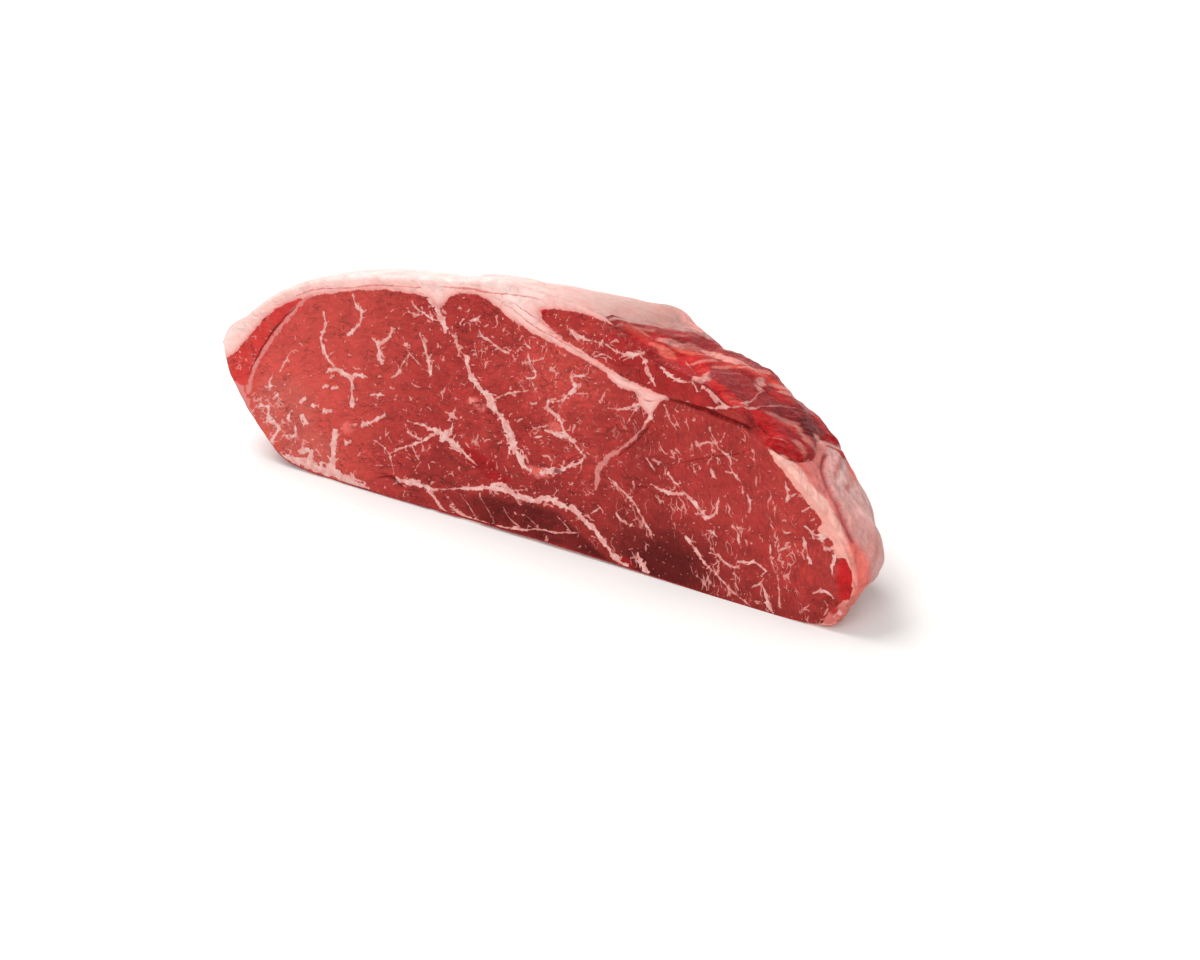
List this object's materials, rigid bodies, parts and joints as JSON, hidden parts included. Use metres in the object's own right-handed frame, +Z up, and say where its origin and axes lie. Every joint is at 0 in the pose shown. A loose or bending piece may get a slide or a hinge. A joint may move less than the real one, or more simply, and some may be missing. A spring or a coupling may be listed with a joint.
{
  "type": "raw rump roast",
  "caption": "Thick slab of raw beef rump standing on its long edge, its marbled cut face leaning back under a cap of fat.",
  "frame": {"origin": "middle of the length and depth, on the surface that the roast stands on", "axes": "+Z up, +X from the end under the fat cap to the narrow end, the leaning cut face looks towards -Y"},
  "size_m": [0.286, 0.0636, 0.0875],
  "materials": {
    "lean": "satin",
    "fat": "satin",
    "end_fat": "satin"
  },
  "bodies": {
    "root": {"lean": "lean", "fat_cap": "fat", "end_fat": "end_fat"}
  },
  "joints": []
}
